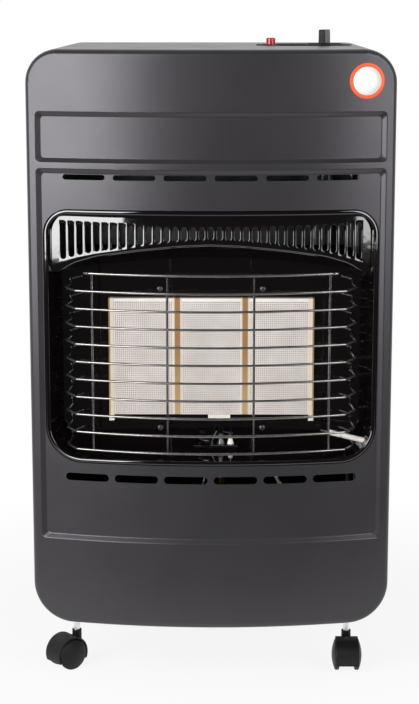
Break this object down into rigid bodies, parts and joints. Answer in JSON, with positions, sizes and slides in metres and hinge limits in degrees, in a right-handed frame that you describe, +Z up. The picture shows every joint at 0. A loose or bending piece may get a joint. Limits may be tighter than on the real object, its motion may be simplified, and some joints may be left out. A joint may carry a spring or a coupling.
{
  "type": "portable gas cabinet heater",
  "caption": "Portable gas cabinet heater with a bowed steel front, wire guard, ceramic burner, slotted hood, top control knob, igniter button, tilting rear cover and swivel casters.",
  "frame": {"origin": "on the floor, under the middle of the heater's overall width and depth", "axes": "+Z up, the bowed front with the burner faces -Y, +X to the viewer's right seen from the front"},
  "size_m": [0.42, 0.4, 0.772],
  "materials": {
    "graphite_paint": "satin metallic powder coat",
    "black_paint": "satin powder coat",
    "zinc_steel": "zinc plated",
    "black_enamel": "gloss vitreous enamel",
    "guard_chrome": "bright wire plating",
    "plaque_ceramic": "matt perforated ceramic",
    "fibre_gasket": "compressed ceramic fibre",
    "white_fibre": "white ceramic fibre",
    "shield_steel": "galvanised sheet",
    "brass": "machined",
    "aluminium_pipe": "drawn",
    "electrode_ceramic": "glazed",
    "lead_silicone": "smooth silicone",
    "black_plastic": "fine texture",
    "red_plastic": "gloss",
    "caster_nylon": "fine texture"
  },
  "bodies": {
    "cabinet": {"front_fascia": "graphite_paint", "cabinet_wrap": "black_paint", "base_tray": "black_paint", "caster_cups": "zinc_steel", "caster_stems": "zinc_steel", "caster_nuts": "zinc_steel", "reflector_pan": "black_enamel", "slotted_hood": "black_enamel", "guard_bars": "guard_chrome", "guard_uprights": "guard_chrome", "plaque_left": "plaque_ceramic", "plaque_centre": "plaque_ceramic", "plaque_right": "plaque_ceramic", "divider_strips": "fibre_gasket", "edge_gaskets": "fibre_gasket", "plaque_retainer": "black_enamel", "fibre_pads": "white_fibre", "burner_plenum": "shield_steel", "burner_screws": "zinc_steel", "mixing_tubes": "shield_steel", "injector_bar": "brass", "injector_bracket": "shield_steel", "injectors": "brass", "supply_pipes": "aluminium_pipe", "pilot_bracket": "black_enamel", "pilot_burner": "zinc_steel", "thermocouple": "zinc_steel", "pilot_electrode": "electrode_ceramic", "pilot_electrode_wire": "zinc_steel", "pilot_fitting": "brass", "pilot_pipe": "aluminium_pipe", "thermocouple_lead": "aluminium_pipe", "pilot_lead": "lead_silicone", "ignition_electrode": "electrode_ceramic", "ignition_tip": "zinc_steel", "ignition_lead": "lead_silicone", "heat_shield": "shield_steel", "control_bezel": "black_plastic", "gas_valve": "brass", "gas_inlet_union": "brass", "igniter_body": "black_plastic", "igniter_nut": "black_plastic"},
    "rear_cover": {"rear_cover": "black_paint"},
    "valve_spindle": {"valve_spindle": "brass"},
    "control_knob": {"control_knob": "black_plastic"},
    "igniter_button": {"igniter_button": "red_plastic"},
    "front_left_caster": {"front_left_caster_hood": "caster_nylon"},
    "front_left_wheels": {"front_left_caster_wheels": "caster_nylon", "front_left_caster_axle": "zinc_steel"},
    "front_right_caster": {"front_right_caster_hood": "caster_nylon"},
    "front_right_wheels": {"front_right_caster_wheels": "caster_nylon", "front_right_caster_axle": "zinc_steel"},
    "rear_left_caster": {"rear_left_caster_hood": "caster_nylon"},
    "rear_left_wheels": {"rear_left_caster_wheels": "caster_nylon", "rear_left_caster_axle": "zinc_steel"},
    "rear_right_caster": {"rear_right_caster_hood": "caster_nylon"},
    "rear_right_wheels": {"rear_right_caster_wheels": "caster_nylon", "rear_right_caster_axle": "zinc_steel"}
  },
  "joints": [
    {"name": "rear_cover_tilt", "type": "hinge", "parent": "cabinet", "child": "rear_cover", "pos_m": [0, 0.1903, 0.098], "axis": [-1, 0, 0], "range_deg": [0, 80]},
    {"name": "control_turn", "type": "hinge", "parent": "cabinet", "child": "valve_spindle", "pos_m": [0.137, 0.02, 0.73], "axis": [0, 0, 1], "range_deg": [0, 210]},
    {"name": "knob_press", "type": "slide", "parent": "valve_spindle", "child": "control_knob", "axis": [0, 0, -1], "range_m": [0, 0.003], "stiffness_N_per_m": 500, "springref_m": -0.004},
    {"name": "igniter_press", "type": "slide", "parent": "cabinet", "child": "igniter_button", "axis": [0, 0, -1], "range_m": [0, 0.006], "stiffness_N_per_m": 500, "springref_m": -0.004},
    {"name": "front_left_swivel", "type": "hinge", "parent": "cabinet", "child": "front_left_caster", "pos_m": [-0.166, -0.098, 0.04], "axis": [0, 0, 1], "continuous": true},
    {"name": "front_left_roll", "type": "hinge", "parent": "front_left_caster", "child": "front_left_wheels", "pos_m": [-0.17789, -0.10871, 0.019], "axis": [0.6691, -0.7431, 0], "continuous": true},
    {"name": "front_right_swivel", "type": "hinge", "parent": "cabinet", "child": "front_right_caster", "pos_m": [0.166, -0.098, 0.04], "axis": [0, 0, 1], "continuous": true},
    {"name": "front_right_roll", "type": "hinge", "parent": "front_right_caster", "child": "front_right_wheels", "pos_m": [0.166, -0.114, 0.019], "axis": [1, 0, 0], "continuous": true},
    {"name": "rear_left_swivel", "type": "hinge", "parent": "cabinet", "child": "rear_left_caster", "pos_m": [-0.166, 0.132, 0.04], "axis": [0, 0, 1], "continuous": true},
    {"name": "rear_left_roll", "type": "hinge", "parent": "rear_left_caster", "child": "rear_left_wheels", "pos_m": [-0.17147, 0.11696, 0.019], "axis": [0.9397, -0.342, 0], "continuous": true},
    {"name": "rear_right_swivel", "type": "hinge", "parent": "cabinet", "child": "rear_right_caster", "pos_m": [0.166, 0.132, 0.04], "axis": [0, 0, 1], "continuous": true},
    {"name": "rear_right_roll", "type": "hinge", "parent": "rear_right_caster", "child": "rear_right_wheels", "pos_m": [0.16933, 0.11635, 0.019], "axis": [0.9781, 0.2079, 0], "continuous": true}
  ]
}
